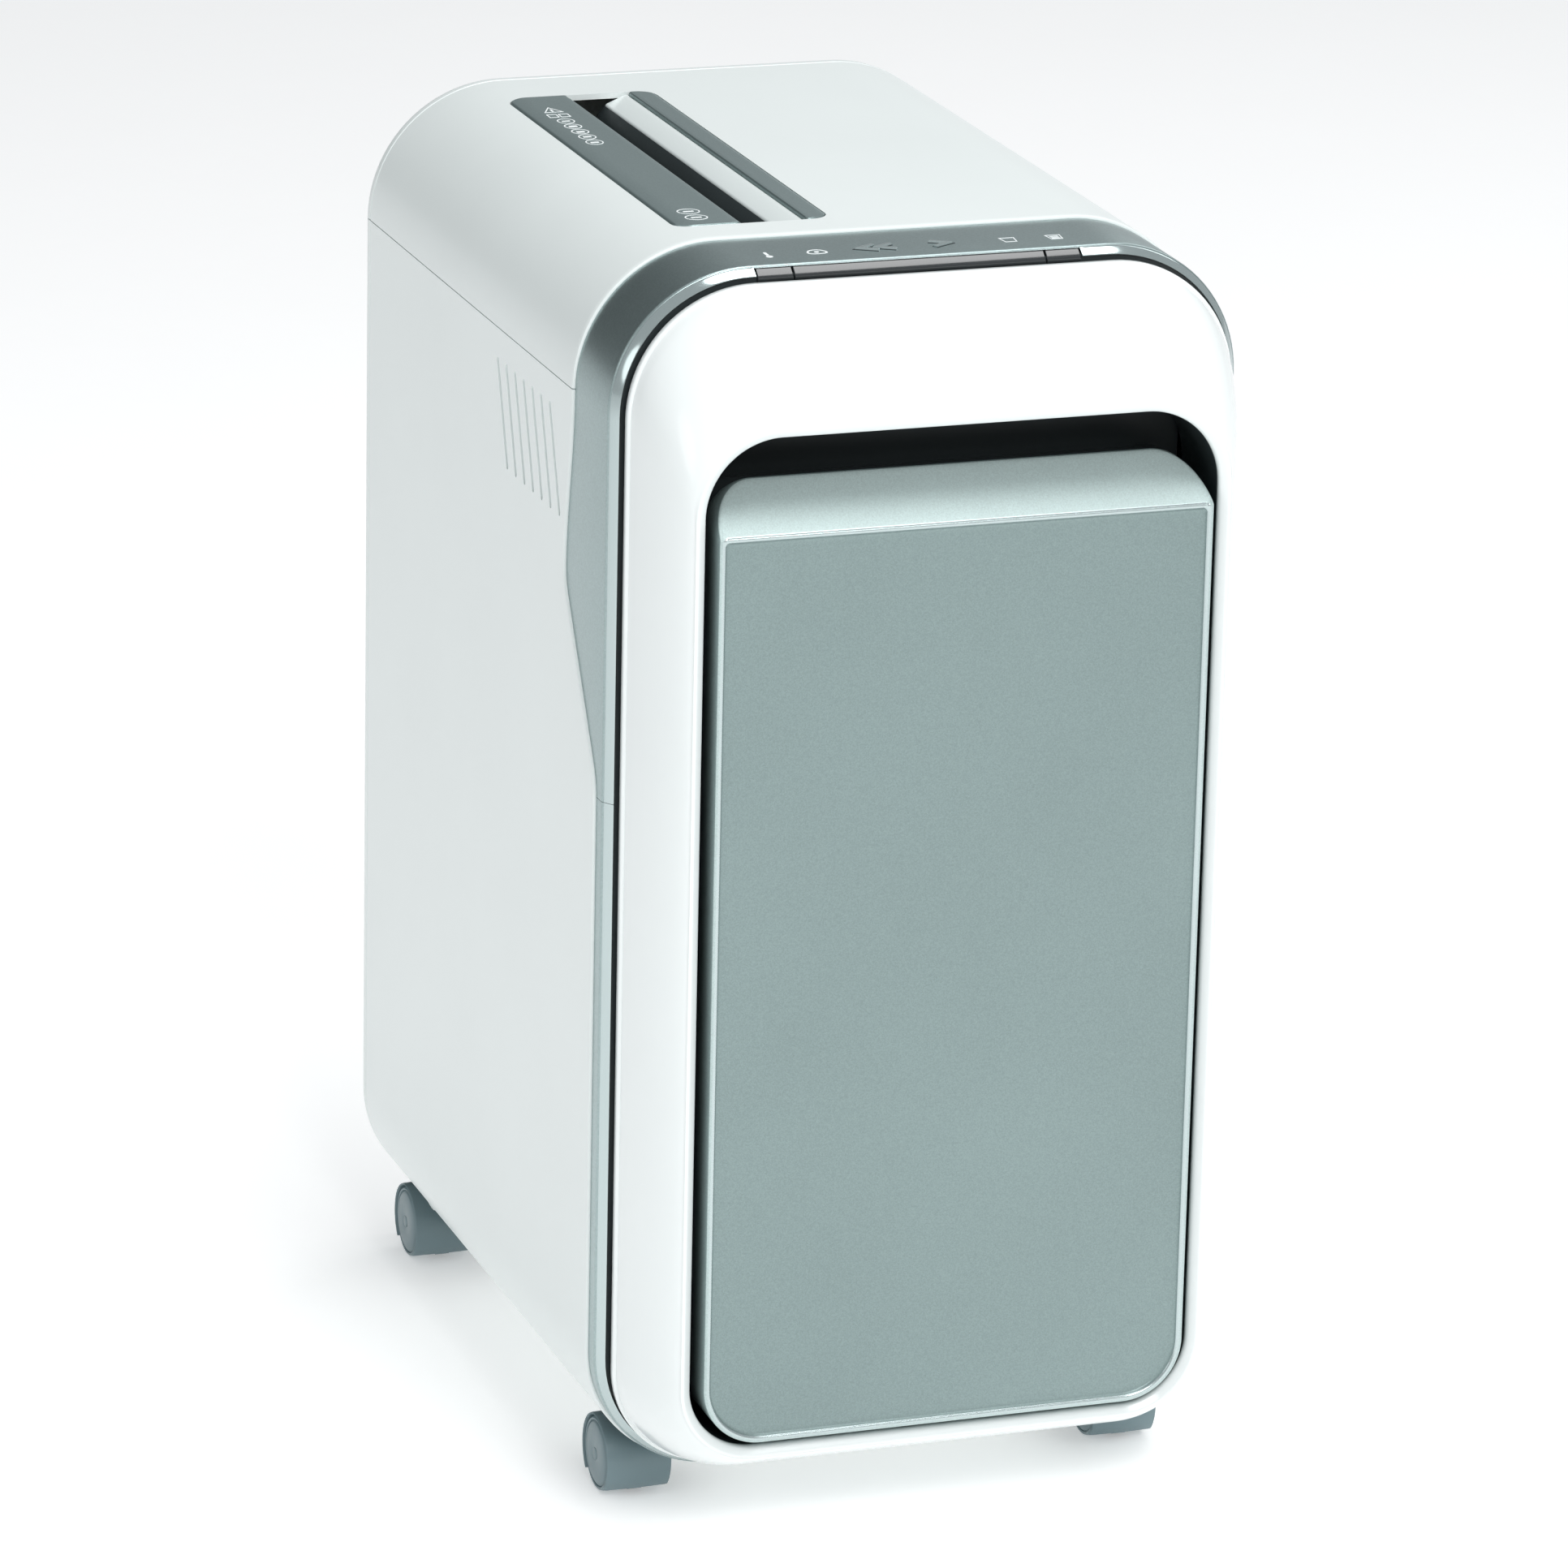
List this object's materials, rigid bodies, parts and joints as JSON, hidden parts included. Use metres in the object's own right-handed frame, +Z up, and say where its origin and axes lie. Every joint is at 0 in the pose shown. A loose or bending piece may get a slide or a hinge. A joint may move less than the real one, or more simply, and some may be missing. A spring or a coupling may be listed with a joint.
{
  "type": "paper shredder",
  "caption": "Deskside paper shredder on swivel casters, with a top paper slot, cross-cut cutters, touch keys and a pull-out waste bin behind a rounded front frame.",
  "frame": {"origin": "on the floor under the middle of the body", "axes": "+Z up, front (bin) faces -Y, +X to the right seen from the front"},
  "size_m": [0.274, 0.4, 0.541],
  "materials": {
    "white_plastic": "satin cool white moulded plastic",
    "silver_plastic": "silver-grey metallic painted plastic",
    "pale_light_strip": "pale translucent plastic",
    "smoked_plastic": "polished smoked plastic",
    "light_lens": "translucent lens plastic",
    "dark_plastic": "fine grained charcoal plastic",
    "bin_plastic": "fine grained dark grey plastic",
    "grey_plastic": "fine grained grey plastic",
    "caster_plastic": "smooth blue-grey nylon",
    "gear_plastic": "natural nylon",
    "steel": "zinc plated steel",
    "hard_steel": "ground hardened steel",
    "motor_steel": "dark coated steel",
    "bronze": "sintered bronze",
    "circuit_board": "green laminate"
  },
  "bodies": {
    "cabinet": {"base_pan": "grey_plastic", "bin_guide_walls": "grey_plastic", "bin_runners": "grey_plastic", "bin_sensors": "dark_plastic", "board_components": "dark_plastic", "board_standoffs": "gear_plastic", "cabinet_shell": "white_plastic", "caster_sockets": "steel", "control_board": "circuit_board", "cord_gland": "dark_plastic", "cradle": "steel", "cradle_screws": "steel", "cutter_bushes": "bronze", "entry_plate": "silver_plastic", "front_end_plate": "steel", "front_frame": "white_plastic", "guide_strip": "pale_light_strip", "hood_shell": "white_plastic", "idler_pin": "steel", "indicator_lights": "light_lens", "key_switches": "dark_plastic", "lower_back_panel": "white_plastic", "lower_trim": "silver_plastic", "motor_can": "motor_steel", "motor_end_cap": "dark_plastic", "paper_sensors": "dark_plastic", "power_board": "circuit_board", "rear_end_plate": "steel", "recess_wall": "dark_plastic", "rocker_frame": "dark_plastic", "status_window": "smoked_plastic", "stripper_combs": "dark_plastic", "tie_rods": "steel", "upper_back_cover": "white_plastic", "upper_trim": "silver_plastic"},
    "bin": {"bin_front": "silver_plastic", "bin_tub": "bin_plastic", "finger_tray": "dark_plastic"},
    "reverse_key": {"reverse_button": "silver_plastic"},
    "forward_key": {"forward_button": "silver_plastic"},
    "rocker": {"rocker_key": "dark_plastic"},
    "right_cutter": {"right_cutter_shaft": "steel", "right_cutter_discs": "hard_steel", "right_sync_gear": "steel", "main_gear": "gear_plastic"},
    "left_cutter": {"left_cutter_shaft": "steel", "left_cutter_discs": "hard_steel", "left_sync_gear": "steel"},
    "idler": {"idler_gear": "gear_plastic"},
    "rotor": {"motor_shaft": "steel", "motor_pinion": "steel", "motor_fan": "gear_plastic"},
    "front_left_swivel": {"front_left_yoke": "caster_plastic"},
    "front_left_wheel_pair": {"front_left_wheels": "caster_plastic"},
    "front_right_swivel": {"front_right_yoke": "caster_plastic"},
    "front_right_wheel_pair": {"front_right_wheels": "caster_plastic"},
    "rear_left_swivel": {"rear_left_yoke": "caster_plastic"},
    "rear_left_wheel_pair": {"rear_left_wheels": "caster_plastic"},
    "rear_right_swivel": {"rear_right_yoke": "caster_plastic"},
    "rear_right_wheel_pair": {"rear_right_wheels": "caster_plastic"}
  },
  "joints": [
    {"name": "bin_slide", "type": "slide", "parent": "cabinet", "child": "bin", "axis": [0, -1, 0], "range_m": [0, 0.33]},
    {"name": "reverse_press", "type": "slide", "parent": "cabinet", "child": "reverse_key", "axis": [0, 0, -1], "range_m": [0, 0.0008], "stiffness_N_per_m": 600, "springref_m": -0.001},
    {"name": "forward_press", "type": "slide", "parent": "cabinet", "child": "forward_key", "axis": [0, 0, -1], "range_m": [0, 0.0008], "stiffness_N_per_m": 600, "springref_m": -0.001},
    {"name": "rocker_tilt", "type": "hinge", "parent": "cabinet", "child": "rocker", "pos_m": [0.098, 0.1954, 0.425], "axis": [1, 0, 0], "range_deg": [0, 16]},
    {"name": "right_cutter_spin", "type": "hinge", "parent": "cabinet", "child": "right_cutter", "pos_m": [-0.032, 0.039, 0.478], "axis": [0, 1, 0], "continuous": true},
    {"name": "left_cutter_spin", "type": "hinge", "parent": "cabinet", "child": "left_cutter", "pos_m": [-0.068, 0.039, 0.478], "axis": [0, 1, 0], "continuous": true},
    {"name": "idler_spin", "type": "hinge", "parent": "cabinet", "child": "idler", "pos_m": [0.01414, 0.18, 0.48624], "axis": [0, 1, 0], "continuous": true},
    {"name": "motor_spin", "type": "hinge", "parent": "cabinet", "child": "rotor", "pos_m": [0.048, 0.1, 0.474], "axis": [0, 1, 0], "continuous": true},
    {"name": "front_left_swivel", "type": "hinge", "parent": "cabinet", "child": "front_left_swivel", "pos_m": [-0.11, -0.104, 0.04], "axis": [0, 0, 1], "continuous": true},
    {"name": "front_left_roll", "type": "hinge", "parent": "front_left_swivel", "child": "front_left_wheel_pair", "pos_m": [-0.11, -0.112, 0.016], "axis": [1, 0, 0], "continuous": true},
    {"name": "front_right_swivel", "type": "hinge", "parent": "cabinet", "child": "front_right_swivel", "pos_m": [0.11, -0.104, 0.04], "axis": [0, 0, 1], "continuous": true},
    {"name": "front_right_roll", "type": "hinge", "parent": "front_right_swivel", "child": "front_right_wheel_pair", "pos_m": [0.11, -0.112, 0.016], "axis": [1, 0, 0], "continuous": true},
    {"name": "rear_left_swivel", "type": "hinge", "parent": "cabinet", "child": "rear_left_swivel", "pos_m": [-0.11, 0.164, 0.04], "axis": [0, 0, 1], "continuous": true},
    {"name": "rear_left_roll", "type": "hinge", "parent": "rear_left_swivel", "child": "rear_left_wheel_pair", "pos_m": [-0.11, 0.172, 0.016], "axis": [1, 0, 0], "continuous": true},
    {"name": "rear_right_swivel", "type": "hinge", "parent": "cabinet", "child": "rear_right_swivel", "pos_m": [0.11, 0.164, 0.04], "axis": [0, 0, 1], "continuous": true},
    {"name": "rear_right_roll", "type": "hinge", "parent": "rear_right_swivel", "child": "rear_right_wheel_pair", "pos_m": [0.11, 0.172, 0.016], "axis": [1, 0, 0], "continuous": true}
  ],
  "couplings": [
    {"joint": "right_cutter_spin", "follows": "motor_spin", "ratio": 0.05},
    {"joint": "left_cutter_spin", "follows": "motor_spin", "ratio": -0.05},
    {"joint": "idler_spin", "follows": "motor_spin", "ratio": -0.2}
  ]
}
